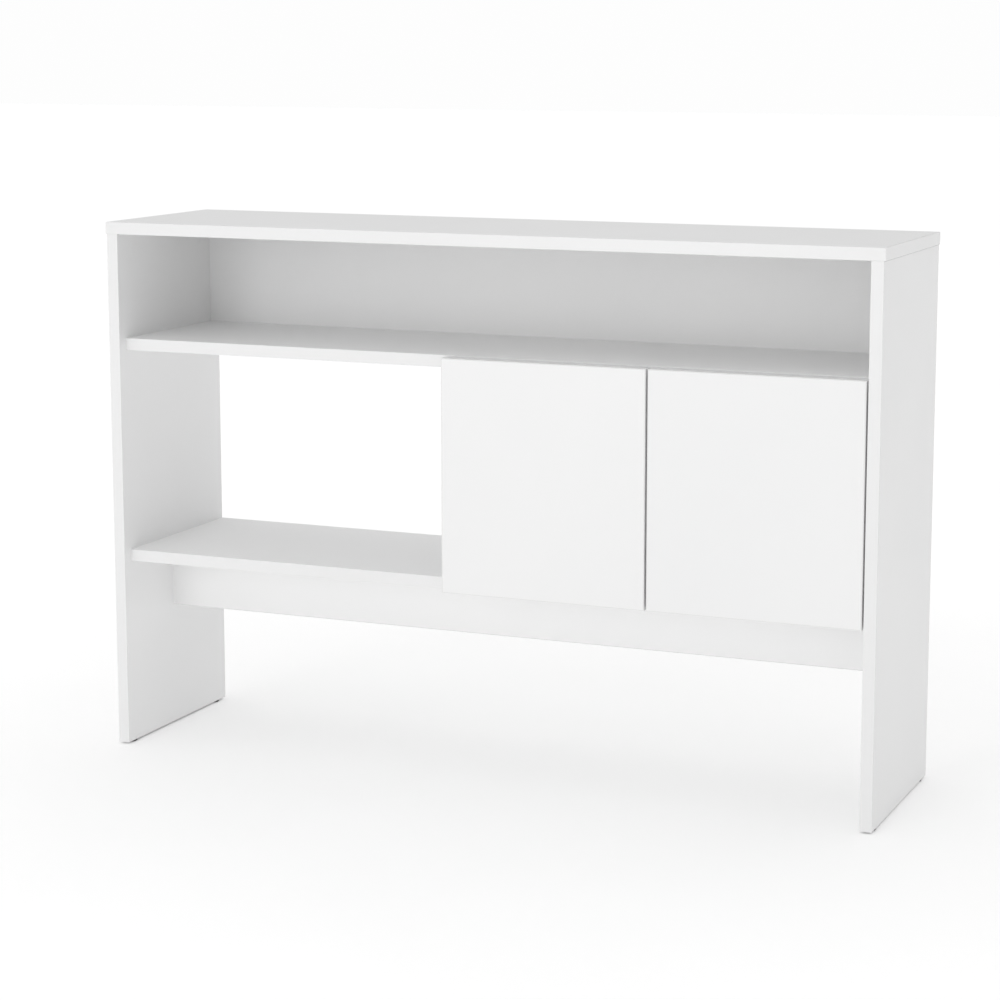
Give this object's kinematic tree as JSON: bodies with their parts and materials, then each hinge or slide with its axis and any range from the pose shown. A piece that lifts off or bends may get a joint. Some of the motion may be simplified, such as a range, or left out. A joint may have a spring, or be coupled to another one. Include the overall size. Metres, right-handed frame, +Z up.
{
  "type": "console table",
  "caption": "White board console table with a full-width shelf, an open niche, a low cross rail and a cupboard behind two flush push-open doors.",
  "frame": {"origin": "on the floor, under the middle of the table", "axes": "+X along the table to the right seen from the front, +Y to the back, +Z up"},
  "size_m": [1.19, 0.3, 0.8],
  "materials": {
    "white_board": "fine-textured white melamine face on chipboard",
    "white_edging": "satin ABS edge strip, long edges rounded",
    "white_hardboard": "white lacquered hardboard",
    "cover_foil": "white self-adhesive melamine foil",
    "zinc_casting": "bare die-cast zinc",
    "beech": "plain beech dowel",
    "black_plastic": "moulded polyethylene",
    "white_plastic": "moulded, satin",
    "grey_plastic": "moulded, satin",
    "magnet": "nickel-plated magnet",
    "hinge_steel": "nickel-plated pressed steel",
    "bright_steel": "zinc-plated steel"
  },
  "bodies": {
    "root": {"arm_screws": "bright_steel", "cam_bolts": "bright_steel", "cam_covers": "cover_foil", "cam_locks": "zinc_casting", "cupboard_back": "white_hardboard", "divider": "white_board", "divider_edging": "white_edging", "floor_glides": "black_plastic", "glide_nails": "bright_steel", "hinge_arm_pins": "bright_steel", "latch_screws": "bright_steel", "left_latch_housing": "white_plastic", "left_latch_spring": "bright_steel", "left_lower_hinge_arm": "hinge_steel", "left_lower_mounting_plate": "hinge_steel", "left_side_panel": "white_board", "left_side_panel_edging": "white_edging", "left_upper_hinge_arm": "hinge_steel", "left_upper_mounting_plate": "hinge_steel", "lower_shelf": "white_board", "lower_shelf_edging": "white_edging", "plate_screws": "bright_steel", "right_latch_housing": "white_plastic", "right_latch_spring": "bright_steel", "right_lower_hinge_arm": "hinge_steel", "right_lower_mounting_plate": "hinge_steel", "right_side_panel": "white_board", "right_side_panel_edging": "white_edging", "right_upper_hinge_arm": "hinge_steel", "right_upper_mounting_plate": "hinge_steel", "stretcher_rail": "white_board", "stretcher_rail_edging": "white_edging", "top_panel": "white_board", "top_panel_edging": "white_edging", "upper_back_panel": "white_board", "upper_shelf": "white_board", "upper_shelf_edging": "white_edging", "wood_dowels": "beech"},
    "left_door": {"left_door": "white_board", "left_door_edging": "white_edging", "left_upper_hinge_cup": "hinge_steel", "left_lower_hinge_cup": "hinge_steel", "left_cup_pins": "bright_steel", "left_cup_screws": "bright_steel", "left_latch_strike": "bright_steel"},
    "left_outer_links": {"left_outer_links": "hinge_steel"},
    "left_inner_links": {"left_inner_links": "hinge_steel"},
    "left_plunger": {"left_latch_plunger": "grey_plastic", "left_latch_magnet": "magnet"},
    "right_door": {"right_door": "white_board", "right_door_edging": "white_edging", "right_upper_hinge_cup": "hinge_steel", "right_lower_hinge_cup": "hinge_steel", "right_cup_pins": "bright_steel", "right_cup_screws": "bright_steel", "right_latch_strike": "bright_steel"},
    "right_outer_links": {"right_outer_links": "hinge_steel"},
    "right_inner_links": {"right_inner_links": "hinge_steel"},
    "right_plunger": {"right_latch_plunger": "grey_plastic", "right_latch_magnet": "magnet"}
  },
  "joints": [
    {"name": "left_outer_link_turn", "type": "hinge", "parent": "root", "child": "left_outer_links", "pos_m": [-0.0146, -0.1194, 0.4525], "axis": [0, 0, -1], "range_deg": [-35.2, 0]},
    {"name": "left_door_open", "type": "hinge", "parent": "left_outer_links", "child": "left_door", "pos_m": [-0.0372, -0.1363, 0.4525], "axis": [0, 0, -1], "range_deg": [0, 130.15]},
    {"name": "left_inner_link_turn", "type": "hinge", "parent": "root", "child": "left_inner_links", "pos_m": [-0.017, -0.1364, 0.4525], "axis": [0, 0, -1], "range_deg": [-53.44, 0]},
    {"name": "left_latch_push", "type": "slide", "parent": "root", "child": "left_plunger", "axis": [0, -1, 0], "range_m": [0, 0.03801]},
    {"name": "right_outer_link_turn", "type": "hinge", "parent": "root", "child": "right_outer_links", "pos_m": [0.5396, -0.1194, 0.4525], "axis": [0, 0, 1], "range_deg": [-35.2, 0]},
    {"name": "right_door_open", "type": "hinge", "parent": "right_outer_links", "child": "right_door", "pos_m": [0.5622, -0.1363, 0.4525], "axis": [0, 0, 1], "range_deg": [0, 130.15]},
    {"name": "right_inner_link_turn", "type": "hinge", "parent": "root", "child": "right_inner_links", "pos_m": [0.542, -0.1364, 0.4525], "axis": [0, 0, 1], "range_deg": [-53.44, 0]},
    {"name": "right_latch_push", "type": "slide", "parent": "root", "child": "right_plunger", "axis": [0, -1, 0], "range_m": [0, 0.03801]}
  ],
  "couplings": [
    {"joint": "left_outer_link_turn", "follows": "left_door_open", "ratio": -0.27007},
    {"joint": "left_inner_link_turn", "follows": "left_door_open", "ratio": -0.41022},
    {"joint": "left_latch_push", "follows": "left_door_open", "m_per_rad": 0.016729},
    {"joint": "right_outer_link_turn", "follows": "right_door_open", "ratio": -0.27007},
    {"joint": "right_inner_link_turn", "follows": "right_door_open", "ratio": -0.41022},
    {"joint": "right_latch_push", "follows": "right_door_open", "m_per_rad": 0.016729}
  ]
}
